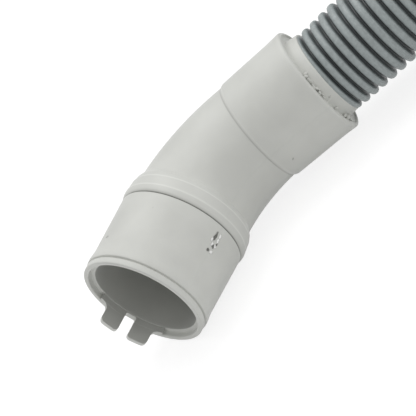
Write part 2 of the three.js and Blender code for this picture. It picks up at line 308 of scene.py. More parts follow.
# %% Mesh of the hose
hose_bore = 10.2 * MM
inner_every = 18  # the smooth inside needs only every so many rings


def ring_of_vertices(mesh, place, side, other, radius):
    ring = []
    for i in range(around_hose):
        angle = tau * i / around_hose
        ring.append(mesh.verts.new(place + (side * cos(angle) + other * sin(angle)) * radius))
    return ring


def bridge_rings(mesh, first, second, uv, from_share, to_share):
    for i in range(around_hose):
        j = (i + 1) % around_hose
        face = mesh.faces.new((first[i], first[j], second[j], second[i]))
        face.smooth = True
        corners = ((i, from_share), (i + 1, from_share), (i + 1, to_share), (i, to_share))
        for loop, (around, share) in zip(face.loops, corners):
            loop[uv].uv = (around / around_hose, share)


hose_mesh = bmesh.new()
uv = hose_mesh.loops.layers.uv.new("ribs")
outside = [ring_of_vertices(hose_mesh, *frame, radius)
           for frame, (distance, radius, share) in zip(ring_frames, rings)]
inner_picks = list(range(0, len(rings) - 1, inner_every)) + [len(rings) - 1]
inside = [ring_of_vertices(hose_mesh, *ring_frames[i], hose_bore) for i in inner_picks]
rib_shares = [share + 1 for distance, radius, share in rings]
for i in range(len(rings) - 1):
    bridge_rings(hose_mesh, outside[i + 1], outside[i], uv, rib_shares[i + 1], rib_shares[i])
for i in range(len(inside) - 1):
    bridge_rings(hose_mesh, inside[i], inside[i + 1], uv, 0.5, 0.5)
bridge_rings(hose_mesh, outside[0], inside[0], uv, 0.5, 0.5)
bridge_rings(hose_mesh, inside[-1], outside[-1], uv, 0.5, 0.5)
bmesh.ops.recalc_face_normals(hose_mesh, faces=hose_mesh.faces[:])
hose_data = bpy.data.meshes.new("corrugated_hose")
hose_mesh.to_mesh(hose_data)
hose_mesh.free()
hose = bpy.data.objects.new("corrugated_hose", hose_data)
bpy.context.scene.collection.objects.link(hose)
print("hose:", len(hose_data.polygons) * 2, "triangles")

# %% [markdown]
# New pieces are modelled by hand operators. These helpers do what the hand does again and again: start from one
# vertex, draw an outline corner by corner, round the corners that a mould rounds, and turn the outline about
# the piece's axis.


# %% Helpers for modelling
def edit(piece, kind="VERT"):
    """Opens one piece in edit mode with nothing selected."""
    if bpy.context.object and bpy.context.object.mode != "OBJECT":
        bpy.ops.object.mode_set(mode="OBJECT")
    bpy.ops.object.select_all(action="DESELECT")
    piece.select_set(True)
    bpy.context.view_layer.objects.active = piece
    bpy.ops.object.mode_set(mode="EDIT")
    bpy.ops.mesh.select_mode(type=kind)
    bpy.ops.mesh.select_all(action="DESELECT")


def done():
    bpy.ops.object.mode_set(mode="OBJECT")


def pick(piece, elements, wanted):
    """Selects the vertices, edges or faces that are wanted, and says how many there are."""
    bpy.ops.mesh.select_all(action="DESELECT")
    mesh = bmesh.from_edit_mesh(piece.data)
    count = 0
    for element in getattr(mesh, elements):
        if wanted(element):
            element.select_set(True)
            count += 1
    mesh.select_flush_mode()
    bmesh.update_edit_mesh(piece.data)
    return count


def one_vertex(name, place):
    """A plane merged to its middle is the single vertex that a drawing starts from."""
    if bpy.context.object and bpy.context.object.mode != "OBJECT":
        bpy.ops.object.mode_set(mode="OBJECT")
    bpy.ops.object.select_all(action="DESELECT")
    bpy.ops.mesh.primitive_plane_add(size=2 * MM, location=(0, 0, 0))
    piece = bpy.context.object
    piece.name = name
    piece.data.name = name
    edit(piece)
    bpy.ops.mesh.select_all(action="SELECT")
    bpy.ops.mesh.merge(type="CENTER")
    bpy.ops.transform.translate(value=place)
    return piece


def is_at(vertex, place):
    return (vertex.co - place).length < 0.001 * MM


def drawn_outline(name, corners):
    """A closed outline in the X-Y plane. A corner is x, y and how far its rounding reaches, in millimetres."""
    places = [Vector((x, y, 0)) * MM for x, y, rounding in corners]
    piece = one_vertex(name, places[0])
    for before, after in zip(places, places[1:]):
        bpy.ops.mesh.extrude_region_move(TRANSFORM_OT_translate={"value": after - before})
    pick(piece, "verts", lambda vertex: is_at(vertex, places[0]) or is_at(vertex, places[-1]))
    bpy.ops.mesh.edge_face_add()
    for place, (x, y, rounding) in zip(places, corners):
        if rounding:
            pick(piece, "verts", lambda vertex: is_at(vertex, place))
            bpy.ops.mesh.bevel(offset=rounding * MM, segments=4, affect="VERTICES", clamp_overlap=False)
    return piece


def cut_long_edges(piece, longest):
    """Cuts the outline's long edges into even lengths, so that it can bend and its shading stays even."""
    mesh = bmesh.from_edit_mesh(piece.data)
    lengths = sorted({round(edge.calc_length() / longest) for edge in mesh.edges})
    for pieces in lengths:
        if pieces > 1:
            pick(piece, "edges", lambda edge: round(edge.calc_length() / longest) == pieces)
            bpy.ops.mesh.subdivide(number_cuts=pieces - 1)


def turned(piece, steps):
    """Turns the drawn outline about the X axis into a closed piece."""
    bpy.ops.mesh.select_all(action="SELECT")
    bpy.ops.mesh.spin(steps=steps, angle=tau, center=(0, 0, 0), axis=(1, 0, 0))
    bpy.ops.mesh.select_all(action="SELECT")
    bpy.ops.mesh.remove_doubles(threshold=0.002 * MM)
    bpy.ops.mesh.normals_make_consistent(inside=False)
    done()
    print(piece.name, len(piece.data.vertices), "vertices")
    return piece


def combine(piece, other, operation, overlapping=False):
    """Joins, cuts or intersects a piece with another one, which is used up and may overlap itself."""
    bpy.ops.object.select_all(action="DESELECT")
    bpy.context.view_layer.objects.active = piece
    boolean = piece.modifiers.new(operation.lower(), "BOOLEAN")
    boolean.operation = operation
    boolean.object = other
    boolean.solver = "EXACT"
    boolean.use_self = overlapping
    bpy.ops.object.modifier_apply(modifier=boolean.name)
    bpy.data.objects.remove(other)


def place_applied(piece, place=(0, 0, 0), turn=(0, 0, 0)):
    """Turns and moves a piece, and leaves its object at the origin."""
    bpy.ops.object.select_all(action="DESELECT")
    piece.select_set(True)
    bpy.context.view_layer.objects.active = piece
    piece.rotation_euler = turn
    piece.location = place
    bpy.ops.object.transform_apply(location=True, rotation=True, scale=True)


# %% [markdown]
# The elbow cuff is rubber, moulded in one piece. It could be sculpted along its bend, but everything on it
# was turned in the mould maker's lathe first: lip, bead, clamp seat, collar, sleeve and end groove are
# rings. So its outline is drawn once and turned about a straight axis, the tabs are added while it is still
# straight, and the whole cuff is bent at the end.

# %% Turned body of the elbow cuff
lip_radius = 17.2
seat_radius = 17.15
collar_start = 23.2
collar_foot = 17.35  # the seat widens a little towards the collar
collar_radius = ridge_radius / MM
sleeve_from = sleeve_start / MM
cuff_end = cuff_length / MM
groove_outer = 15.0
groove_floor = cuff_end - 0.5
neck_end = cuff_end + 3.0
mouth_radius = 15.8
shoulder = 1.7
socket_radius = 14.6
socket_end = 23
bore_radius = 10.2

cuff_corners = [
    (0, lip_radius, 0.35),
    (1.75, lip_radius, 0.15),
    (1.95, lip_radius - 0.45, 0.08),
    (2.15, lip_radius - 0.45, 0.08),
    (2.3, seat_radius + 0.2, 0.15),
    (3.1, seat_radius + 0.35, 0.6),
    (5.7, seat_radius, 1.0),
    (collar_start - 0.25, collar_foot, 0.1),
    (collar_start - 0.05, collar_foot - 0.32, 0.08),
    (collar_start + 0.2, collar_foot - 0.15, 0.08),
    (collar_start + 0.55, collar_foot + 0.17, 0.2),
    (collar_start + 1.4, collar_radius - 0.02, 0.4),
    (collar_start + 2.2, collar_radius, 0.3),
    (collar_start + 2.7, collar_radius - 0.12, 0.2),
    (28.5, 17.36, 0.15),
    (29.0, 17.16, 0.2),
    (30.2, 16.88, 0.5),
    (31.1, 16.2, 0.4),
    (32.0, 16.02, 0.4),
    (39, 15.74, 2),
    (sleeve_from - 0.1, 15.0, 0.2),
    (sleeve_from + 0.9, 15.52, 0.35),
    (63, 15.62, 1.5),
    (75.3, 15.82, 1.5),
    (cuff_end, 16.12, 0.9),
    (cuff_end, groove_outer, 0.25),
    (groove_floor, groove_outer, 0.25),
    (groove_floor, 12.95, 0.2),
    (neck_end, 12.55, 0.25),
    (neck_end, bore_radius, 0),
    (sleeve_from + 3, bore_radius, 0),
    (sleeve_from, 12.0, 0),
    (socket_end + 4, 12.8, 0),
    (socket_end, socket_radius, 0.5),
    (shoulder, socket_radius, 0.15),
    (shoulder, mouth_radius, 0.15),
    (0, mouth_radius, 0.35),
]
around_cuff = 144
elbow_cuff = drawn_outline("elbow_cuff_rubber", cuff_corners)
cut_long_edges(elbow_cuff, 0.8 * MM)
turned(elbow_cuff, around_cuff)

# %% [markdown]
# The mouth has two locating tabs with a slot between them, and a thick stretch of the lip that carries them.
# They follow the socket's round wall. A flat plate could be rolled to that curve, but it is simpler to push a
# flat outline outwards as a block and keep only what lies inside a turned ring. The pad joins the cuff first,
# then the slot is cut, and the tabs join last, with their edges already rounded.

# %% Tabs at the mouth
tabs_turn = radians(-27)  # about the socket's axis, from the outer side of the bend
tabs_half = 13.6 / 2
tabs_reach = tabs_length / MM
tab_corner = 1.0
tab_fillet = 1.4
tab_foot = tabs_half + tab_fillet + 0.4
slot_half = 1.5
slot_bottom = 1.5
pad_half = 9.3
tab_root = shoulder + 0.8


def pushed(piece, height):
    """A drawn outline as a block of some height."""
    bpy.ops.mesh.select_all(action="SELECT")
    bpy.ops.mesh.edge_face_add()
    bpy.ops.mesh.extrude_region_move(TRANSFORM_OT_translate={"value": (0, 0, height)})
    bpy.ops.mesh.select_all(action="SELECT")
    bpy.ops.mesh.normals_make_consistent(inside=False)
    done()


def pushed_outwards(piece):
    """A drawn outline as a block that runs outwards through the cuff's wall at the tabs."""
    pushed(piece, 20 * MM)
    place_applied(piece, turn=(tabs_turn - pi / 2, 0, 0))
    return piece


def socket_ring(name, inner, outer, start, end):
    """A plain ring about the socket's axis. Its steps don't fall on the cuff's, which keeps the joining clean."""
    corners = [(start, inner, 0), (start, outer, 0), (end, outer, 0), (end, inner, 0)]
    return turned(drawn_outline(name, corners), around_cuff - 4)


def soften_edges(piece, width):
    """Rounds the sharp edges of a piece."""
    bpy.ops.object.select_all(action="DESELECT")
    bpy.context.view_layer.objects.active = piece
    rounding = piece.modifiers.new("rounding", "BEVEL")
    rounding.width = width
    rounding.segments = 3
    rounding.angle_limit = radians(50)
    bpy.ops.object.modifier_apply(modifier=rounding.name)


tabs = pushed_outwards(drawn_outline("tabs", [
    (tab_root, -tab_foot, 0),
    (0.03, -tab_foot, 0),
    (0.03, -tabs_half, tab_fillet),
    (-tabs_reach, -tabs_half, tab_corner),
    (-tabs_reach, -slot_half, tab_corner),
    (slot_bottom, -slot_half, 0.5),
    (slot_bottom, slot_half, 0.5),
    (-tabs_reach, slot_half, tab_corner),
    (-tabs_reach, tabs_half, tab_corner),
    (0.03, tabs_half, tab_fillet),
    (0.03, tab_foot, 0),
    (tab_root, tab_foot, 0),
]))
combine(tabs, socket_ring("tabs_ring", socket_radius + 0.15, socket_radius + 1.9, -8, 6), "INTERSECT")
soften_edges(tabs, 0.16 * MM)
pad = pushed_outwards(drawn_outline("pad", [
    (tab_root, -pad_half, 0),
    (0.05, -pad_half, 0),
    (0.05, pad_half, 0),
    (tab_root, pad_half, 0),
]))
combine(pad, socket_ring("pad_ring", socket_radius + 0.1, mouth_radius + 0.5, -2, 6), "INTERSECT")
slot = pushed_outwards(drawn_outline("slot", [
    (-3, -slot_half, 0),
    (slot_bottom, -slot_half, 0.5),
    (slot_bottom, slot_half, 0.5),
    (-3, slot_half, 0),
]))
combine(elbow_cuff, pad, "UNION")
combine(elbow_cuff, slot, "DIFFERENCE")
combine(elbow_cuff, tabs, "UNION")
print("cuff with tabs:", len(elbow_cuff.data.polygons), "faces")

# %% [markdown]
# At the other end the neck stands in a shallow ring-shaped groove. A thin bridge of rubber crosses it where the
# two halves of the mould meet, on the inner side of the bend, and runs on over the neck. Next to it, crumbs of
# flash were left in the groove: each is a small ball, squashed and turned, and all are joined to the cuff.

# %% Bridge and crumbs in the end groove
bridge_width = 0.5 * MM
bridge = drawn_outline("bridge", [
    (groove_floor - 0.2, -15.4, 0),
    (cuff_end - 0.3, -15.4, 0),
    (cuff_end - 0.3, -13.1, 0.3),
    (cuff_end + 1.1, -12.85, 0.2),
    (cuff_end + 1.1, -12.4, 0),
    (groove_floor - 0.2, -12.4, 0),
])
pushed(bridge, bridge_width)
place_applied(bridge, place=(0, 0, -bridge_width / 2))
soften_edges(bridge, 0.1 * MM)
combine(elbow_cuff, bridge, "UNION")

# Each crumb: its direction round the cuff in degrees, its radius, distance from the groove's floor, and size.
crumb_places = [
    (138, 13.1, 0.7, 0.34), (141, 13.6, 0.5, 0.26), (145, 13.2, 0.6, 0.22), (149, 13.4, 0.7, 0.36),
    (153, 13.1, 0.5, 0.3), (156, 13.9, 0.4, 0.24), (159, 13.3, 0.7, 0.32), (162, 13.1, 0.8, 0.22),
    (165, 13.8, 0.5, 0.3), (169, 13.2, 0.7, 0.24), (172, 13.5, 0.5, 0.2), (-166, 13.2, 0.6, 0.2),
    (-146, 13.4, 0.5, 0.3), (-141, 13.8, 0.5, 0.34), (-137, 13.3, 0.6, 0.28), (-133, 13.9, 0.4, 0.26),
]
bpy.ops.object.select_all(action="DESELECT")
crumbs = []
for number, (direction, radius, height, size) in enumerate(crumb_places):
    side = Vector((0, cos(radians(direction)), sin(radians(direction)))) * radius * MM
    bpy.ops.mesh.primitive_ico_sphere_add(
        subdivisions=2, radius=size * 1.8 * MM, location=side + Vector(((groove_floor + height) * MM, 0, 0)))
    crumb = bpy.context.object
    crumb.scale = (1.3 + 0.5 * (number % 2), 0.9, 0.6 + 0.15 * (number % 3))
    crumb.rotation_euler = (number * 0.9, number * 0.5, number * 0.3)
    crumbs.append(crumb)
for crumb in crumbs:
    crumb.select_set(True)
bpy.ops.object.join()
crumbs = bpy.context.object
bpy.ops.object.transform_apply(location=True, rotation=True, scale=True)
combine(elbow_cuff, crumbs, "UNION", overlapping=True)
print("cuff with bridge and crumbs:", len(elbow_cuff.data.polygons), "faces")

# %% [markdown]
# The mould's parting line is a fine raised line along the inner and the outer side of the bend. The faces
# there are bisected on both sides of the line, and the vertices on it are moved outwards a little.

# %% Parting line
seam_half = 0.16 * MM
seam_height = 0.045 * MM


def parting_line(piece, side):
    """A raised line on one side of the piece: side is 1 for +Y and -1 for -Y."""
    edit(piece, "FACE")

    def on_the_line(face):
        middle = face.calc_center_median()
        outer = middle.y * side > 14.9 * MM and face.normal.y * side > 0.05
        return outer and abs(middle.z) < 1.5 * MM

    for height in (-seam_half, seam_half):
        pick(piece, "faces", on_the_line)
        bpy.ops.mesh.bisect(plane_co=(0, 0, height), plane_no=(0, 0, 1), threshold=0.0001 * MM)
    pick(piece, "faces", lambda face: on_the_line(face) and abs(face.calc_center_median().z) < seam_half)
    mesh = bmesh.from_edit_mesh(piece.data)
    on_line = {vertex for face in mesh.faces if face.select for vertex in face.verts
               if abs(vertex.co.z) < 0.01 * MM}
    bpy.ops.mesh.select_mode(type="VERT")
    count = pick(piece, "verts", lambda vertex: vertex in on_line)
    bpy.ops.transform.translate(value=(0, side * seam_height, 0))
    done()
    print("parting line:", count, "vertices raised")


parting_line(elbow_cuff, -1)
parting_line(elbow_cuff, 1)

# %% [markdown]
# A picture states a colour as it looks on a screen, and Blender's sockets take linear light, so a small helper
# converts them. Two more helpers add a shader node and wire it up, because every material below is a short
# chain of them.


# %% Helpers for materials
def srgb(red, green, blue):
    """A colour as a picture shows it, 0 to 255, as the linear values that Blender's sockets take."""
    linear = []
    for value in (red, green, blue):
        share = value / 255
        linear.append(share / 12.92 if share <= 0.04045 else ((share + 0.055) / 1.055) ** 2.4)
    return (*linear, 1)


def new_material(name):
    material = bpy.data.materials.new(name)
    material.use_nodes = True
    return material, material.node_tree.nodes["Principled BSDF"]


def add_node(material, kind, inputs=None, **settings):
    """A node whose inputs are values or other nodes' outputs."""
    tree = material.node_tree
    node = tree.nodes.new("ShaderNode" + kind)
    for name, value in settings.items():
        setattr(node, name, value)
    for socket, value in (inputs or {}).items():
        if isinstance(value, bpy.types.NodeSocket):
            tree.links.new(value, node.inputs[socket])
        else:
            node.inputs[socket].default_value = value
    return node


def connect(material, output, socket):
    material.node_tree.links.new(output, socket)


def colour_steps(material, factor, steps):
    """A colour ramp through (place, colour) steps."""
    ramp = add_node(material, "ValToRGB", {"Fac": factor})
    elements = ramp.color_ramp.elements
    elements[0].position, elements[0].color = steps[0]
    elements[1].position, elements[1].color = steps[-1]
    for place, colour in steps[1:-1]:
        elements.new(place).color = colour
    return ramp.outputs["Color"]


# %% [markdown]
# The cuffs are pale grey rubber with a dull, slightly silky skin. The colour is uneven in a very soft way, there
# is a fine grain, and here and there the moulded skin has a small speck. Noise textures make all of this, because
# no two places of it are alike. The same recipe, a little darker, serves for the inside.


# %% Cuff rubber
def rubber_material(name, light, shade):
    """Pale rubber. Gives the material, its shader, the object's coordinates, the colour and the skin's bump."""
    material, skin = new_material(name)
    place = add_node(material, "TexCoord").outputs["Object"]
    clouds = add_node(material, "TexNoise", {"Vector": place, "Scale": 60, "Detail": 3, "Roughness": 0.5})
    colour = colour_steps(material, clouds.outputs["Fac"], [(0.35, shade), (0.65, light)])
    specks = add_node(material, "TexVoronoi", {"Vector": place, "Scale": 110, "Randomness": 1.0})
    rare = add_node(material, "TexNoise", {"Vector": place, "Scale": 150, "Detail": 0})
    speck = add_node(material, "Math", {0: specks.outputs["Distance"], 1: 0.028}, operation="LESS_THAN")
    here = add_node(material, "Math", {0: rare.outputs["Fac"], 1: 0.62}, operation="GREATER_THAN")
    both = add_node(material, "Math", {0: speck.outputs[0], 1: here.outputs[0]}, operation="MULTIPLY")
    faint = add_node(material, "Math", {0: both.outputs[0], 1: 0.3}, operation="MULTIPLY")
    speckled = add_node(
        material, "Mix", {"Factor": faint.outputs[0], "A": colour, "B": srgb(140, 141, 136)}, data_type="RGBA")
    grain = add_node(material, "TexNoise", {"Vector": place, "Scale": 2600, "Detail": 3, "Roughness": 0.6})
    ripple = add_node(material, "TexNoise", {"Vector": place, "Scale": 240, "Detail": 2})
    height = add_node(material, "Math", {0: ripple.outputs["Fac"], 1: 2.0, 2: grain.outputs["Fac"]},
                      operation="MULTIPLY_ADD")
    bump = add_node(material, "Bump", {"Strength": 0.12, "Distance": 0.0001, "Height": height.outputs[0]})
    dull = add_node(material, "MapRange", {
        "Value": clouds.outputs["Fac"], "To Min": 0.42, "To Max": 0.56})
    connect(material, speckled.outputs["Result"], skin.inputs["Base Color"])
    connect(material, dull.outputs["Result"], skin.inputs["Roughness"])
    connect(material, bump.outputs["Normal"], skin.inputs["Normal"])
    skin.inputs["Specular IOR Level"].default_value = 0.45
    skin.inputs["Sheen Weight"].default_value = 0.3
    skin.inputs["Sheen Roughness"].default_value = 0.4
    return material, skin, place, speckled.outputs["Result"], bump.outputs["Normal"]


rubber_light = srgb(210, 211, 206)
rubber_shade = srgb(201, 202, 197)
far_rubber = rubber_material("straight_cuff_rubber", rubber_light, rubber_shade)[0]
rubber_inside = rubber_material("cuff_rubber_inside", srgb(182, 183, 178), srgb(174, 175, 170))[0]
rubber, rubber_skin, on_cuff, cuff_colour, cuff_bump = rubber_material(
    "pale_cuff_rubber", rubber_light, rubber_shade)
print("rubber materials:", far_rubber.name, rubber_inside.name, rubber.name)

# %% [markdown]
# A moulded collar and step show as fine lines: painted shade lies dark in the foot of each, and painted highlights
# lie pale along their edges. The lines go across the cuff at known distances along it. On the straight part the
# distance is just the X
#  coordinate, and on the sleeve it is measured along the sleeve's own axis.

# %% Lines at the collar and the step
from_mouth = add_node(rubber, "SeparateXYZ", {"Vector": on_cuff})
socket_distance = add_node(rubber, "Math", {0: from_mouth.outputs["X"], 1: cuff_place.x}, operation="SUBTRACT")
from_exit = add_node(rubber, "VectorMath", {0: on_cuff, 1: exit_place}, operation="SUBTRACT")
along_sleeve = add_node(rubber, "VectorMath", {0: from_exit.outputs["Vector"], 1: along_end},
                        operation="DOT_PRODUCT")
sleeve_distance = add_node(rubber, "Math", {0: along_sleeve.outputs["Value"], 1: cuff_length}, operation="ADD")


def line_across(colour, distance, middle, half_width, strength, line_colour):
    """Lays a soft line over a colour where a distance, in millimetres, has one value."""
    apart = add_node(rubber, "Math", {0: distance.outputs[0], 1: middle * MM}, operation="SUBTRACT")
    size = add_node(rubber, "Math", {0: apart.outputs[0]}, operation="ABSOLUTE")
    near = add_node(rubber, "MapRange", {
        "Value": size.outputs[0], "From Min": half_width * MM, "From Max": 0, "To Max": strength})
    mixed = add_node(rubber, "Mix", {"Factor": near.outputs["Result"], "A": colour, "B": line_colour},
                     data_type="RGBA")
    return mixed.outputs["Result"]


# Painted shade in the foot of the collar and of the step, and painted highlights along their edges.
painted_shade_line = srgb(98, 99, 94)
painted_highlight_line = srgb(226, 227, 222)
for distance, middle, half_width, strength, line_colour in (
    (socket_distance, collar_start, 0.32, 1.0, painted_shade_line),
    (socket_distance, collar_start + 2.2, 0.35, 0.7, painted_highlight_line),
    (socket_distance, 28.5, 0.3, 0.7, painted_highlight_line),
    (sleeve_distance, sleeve_from - 0.05, 0.3, 0.3, painted_shade_line),
    (sleeve_distance, sleeve_from + 0.75, 0.4, 0.5, painted_highlight_line),
):
    cuff_colour = line_across(cuff_colour, distance, middle, half_width, strength, line_colour)
print("lines at", collar_start, "and", round(sleeve_from, 1), "mm from the mouth")

# %% [markdown]
# On the clamp seat the flash was torn off carelessly, which left a streak of pits and torn edges, and a few single
# marks lie elsewhere. The pits are darkened with painted shade, and the torn edges are lightened almost to white with
# a painted highlight. Each mark is a small stretched ball in Object coordinates, ragged by a noise, so it stays at
# its place on the rubber. Pits also sink in, and torn edges stand up.


# %% Scar and marks
def point_on_cuff(distance, direction, radius):
    """Where a point of the cuff lies: millimetres from the mouth, degrees round it, and millimetres out."""
    bent = min(max(distance * MM - mouth_to_bend, 0), bend_length) / bend_radius
    before = min(distance * MM, mouth_to_bend)
    after = max(distance * MM - sleeve_start, 0)
    middle = Vector((before + bend_radius * sin(bent), -bend_radius * (1 - cos(bent)), 0)) + along_end * after
    outwards = Vector((sin(bent), cos(bent), 0)) * cos(radians(direction))
    upwards = Vector((0, 0, 1)) * sin(radians(direction))
    return cuff_place + middle + (outwards + upwards) * radius * MM


ragged = add_node(rubber, "TexNoise", {"Vector": on_cuff, "Scale": 1300, "Detail": 2})
shift = 0.9 * MM
shifted = add_node(rubber, "VectorMath", {
    0: ragged.outputs["Color"], 1: (shift, shift, shift), 2: on_cuff}, operation="MULTIPLY_ADD")


def mark_on_cuff(colour, height, middle, half_length, half_width, mark_colour, rise):
    """Colours one small ragged place and changes the height there: below zero for a pit."""
    centre = middle + Vector((shift, shift, shift)) / 2
    apart = add_node(rubber, "VectorMath", {0: shifted.outputs["Vector"], 1: centre}, operation="SUBTRACT")
    shares = add_node(rubber, "VectorMath", {
        0: apart.outputs["Vector"], 1: (half_length * MM, 0.8 * MM, half_width * MM)}, operation="DIVIDE")
    reach = add_node(rubber, "VectorMath", {0: shares.outputs["Vector"]}, operation="LENGTH")
    inside = add_node(rubber, "MapRange", {"Value": reach.outputs["Value"], "From Min": 1.2, "From Max": 0.8})
    mixed = add_node(rubber, "Mix", {"Factor": inside.outputs["Result"], "A": colour, "B": mark_colour},
                     data_type="RGBA")
    raised = add_node(rubber, "Math", {0: inside.outputs["Result"], 1: rise, 2: height},
                      operation="MULTIPLY_ADD")
    return mixed.outputs["Result"], raised.outputs[0]


# Painted shade for the pits, and a painted highlight for the torn edges.
painted_pit_shade = srgb(106, 107, 102)
painted_torn_highlight = srgb(250, 250, 248)
mark_grey = srgb(168, 169, 164)
# Each mark: millimetres from the mouth, degrees round, radius, half length, half width, colour, and rise.
marks = [
    (19.6, 179.5, 17.3, 1.35, 0.42, painted_pit_shade, -1), (16.8, -178, 17.3, 0.5, 0.42, painted_pit_shade, -1),
    (15.2, 179, 17.3, 0.42, 0.42, painted_pit_shade, -1), (18.0, -175.5, 17.3, 0.4, 0.3, painted_pit_shade, -1),
    (17.3, 180, 17.3, 0.5, 0.4, painted_torn_highlight, 1), (20.4, -176, 17.3, 0.6, 0.42, painted_torn_highlight, 1),
    (19.1, -176.4, 17.3, 0.6, 0.4, painted_torn_highlight, 1), (17.2, -176, 17.3, 0.45, 0.38, painted_torn_highlight, 1),
    (15.3, -177.2, 17.3, 0.45, 0.38, painted_torn_highlight, 1), (18.3, 177.4, 17.3, 0.6, 0.32, painted_torn_highlight, 1),
    (8.8, 80, 17.15, 0.3, 0.3, mark_grey, -0.3), (62.4, -160, 15.6, 0.3, 0.3, mark_grey, -0.3),
    (cuff_end + 1.0, 177, 12.85, 0.3, 0.3, mark_grey, -0.3),
]
mark_height = 0.0
for distance, direction, radius, half_length, half_width, mark_colour, rise in marks:
    middle = point_on_cuff(distance, direction, radius)
    cuff_colour, mark_height = mark_on_cuff(
        cuff_colour, mark_height, middle, half_length, half_width, mark_colour, rise)
mark_bump = add_node(rubber, "Bump", {
    "Strength": 0.8, "Distance": 0.3 * MM, "Height": mark_height, "Normal": cuff_bump})
connect(rubber, cuff_colour, rubber_skin.inputs["Base Color"])
connect(rubber, mark_bump.outputs["Normal"], rubber_skin.inputs["Normal"])
print("marks:", len(marks))

# %% [markdown]
# Inside, the rubber is a little darker than outside, and the rest is shade. The wider mouth in front of the
# shoulder is still pale. So the second material goes on the faces that look at the axis from the socket's wall.

# %% Give the elbow cuff its materials
elbow_cuff.data.materials.clear()
elbow_cuff.data.materials.append(rubber)
elbow_cuff.data.materials.append(rubber_inside)
inner_limit = (socket_radius + 0.25) * MM


def looks_inwards(face):
    """True for a face of the straight cuff that looks at the axis from the socket's wall, tabs or bore."""
    middle = face.center
    from_axis = hypot(middle.y, middle.z)
    in_end_groove = middle.x > (cuff_end - 1.5) * MM and from_axis > 11 * MM
    if from_axis > inner_limit or in_end_groove:
        return False
    outward = (face.normal.y * middle.y + face.normal.z * middle.z) / max(from_axis, MM)
    return outward < -0.3 or from_axis < inner_limit - 0.5 * MM


dark = 0
for face in elbow_cuff.data.polygons:
    if looks_inwards(face):
        face.material_index = 1
        dark += 1
print("inner faces:", dark)

# %% [markdown]
# Now the straight cuff is bent. The bend modifier works about an empty at the place where the bend starts,
# and its limits are shares of the cuff's length, so that the socket and the sleeve stay straight. The bent
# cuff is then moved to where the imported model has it.

# %% Bend the cuff and put it in place
bpy.ops.object.select_all(action="DESELECT")
bpy.ops.object.empty_add(location=(mouth_to_bend, 0, 0))
bend_middle = bpy.context.object
bpy.ops.object.select_all(action="DESELECT")
bpy.context.view_layer.objects.active = elbow_cuff
lowest = min(vertex.co.x for vertex in elbow_cuff.data.vertices)
highest = max(vertex.co.x for vertex in elbow_cuff.data.vertices)
bend = elbow_cuff.modifiers.new("bend", "SIMPLE_DEFORM")
bend.deform_method = "BEND"
bend.deform_axis = "Z"
bend.origin = bend_middle
bend.angle = -bend_angle
bend.limits = ((mouth_to_bend - lowest) / (highest - lowest), (sleeve_start - lowest) / (highest - lowest))
bpy.ops.object.modifier_apply(modifier=bend.name)
bpy.data.objects.remove(bend_middle)
place_applied(elbow_cuff, place=cuff_place)
bpy.ops.object.shade_smooth_by_angle(angle=radians(35))
corners = [Vector(corner) for corner in elbow_cuff.bound_box]
print("cuff from", [round(min(c[i] for c in corners) / MM, 2) for i in range(3)],
      "to", [round(max(c[i] for c in corners) / MM, 2) for i in range(3)])
print("packed cuff from", [round(value / MM, 2) for value in cuff_low],
      "to", [round(value / MM, 2) for value in cuff_high])

# %% [markdown]
# The far end of the hose has a straight cuff of the same rubber, with a bead at its mouth for the hand to pull on
# and a neck round the hose. It was turned like the elbow cuff, so its outline is spun in the same way, and then it
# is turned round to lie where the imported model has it.

# %% Cuff on the far end
far_cuff = drawn_outline("end_cuff_rubber", [
    (-1.4, bore_radius, 0),
    (-1.4, 13.05, 0.3),
    (0.8, 13.2, 0.15),
    (0.8, 13.9, 0.15),
    (0, 13.9, 0.2),
    (0, 14.6, 0.5),
    (12, 14.45, 2),
    (45.5, 14.55, 0.5),
    (46.8, 15.5, 0.4),
    (50, 15.5, 1.0),
    (50, 11.5, 0.3),
    (49.2, 10.75, 0.2),
    (18, 10.75, 0.2),
    (17, bore_radius, 0),
])
cut_long_edges(far_cuff, 2.5 * MM)
turned(far_cuff, 96)
far_cuff.data.materials.append(far_rubber)
far_cuff.data.materials.append(rubber_inside)
inner_faces = [face for face in far_cuff.data.polygons if hypot(face.center.y, face.center.z) < 11 * MM]
for face in inner_faces:
    face.material_index = 1
place_applied(far_cuff, place=(end_high.x, (end_low.y + end_high.y) / 2, end_cuff_height), turn=(0, 0, pi))
bpy.ops.object.shade_smooth_by_angle(angle=radians(35))
print("inner faces of the far cuff:", len(inner_faces))

# %% [markdown]
# The hose is blow-moulded plastic, blue-grey with a satin skin. Its own UV map runs along the ribs, one whole
#  number to a rib, so the material can be darker in the gaps as painted shade, and a little paler on the
#  crests.

# %% Hose plastic
hose_plastic, plastic = new_material("ribbed_hose_plastic")
ribs = add_node(hose_plastic, "UVMap", uv_map="ribs")
split = add_node(hose_plastic, "SeparateXYZ", {"Vector": ribs.outputs["UV"]})
share = add_node(hose_plastic, "Math", {0: split.outputs["Y"]}, operation="FRACT")
from_crest = add_node(hose_plastic, "Math", {0: share.outputs[0], 1: 0.5}, operation="SUBTRACT")
to_gap = add_node(hose_plastic, "Math", {0: from_crest.outputs[0]}, operation="ABSOLUTE")
place = add_node(hose_plastic, "TexCoord").outputs["Object"]
clouds = add_node(hose_plastic, "TexNoise", {"Vector": place, "Scale": 90, "Detail": 4})
wavy = add_node(hose_plastic, "Math", {0: clouds.outputs["Fac"], 1: 0.03, 2: to_gap.outputs[0]},
                operation="MULTIPLY_ADD")
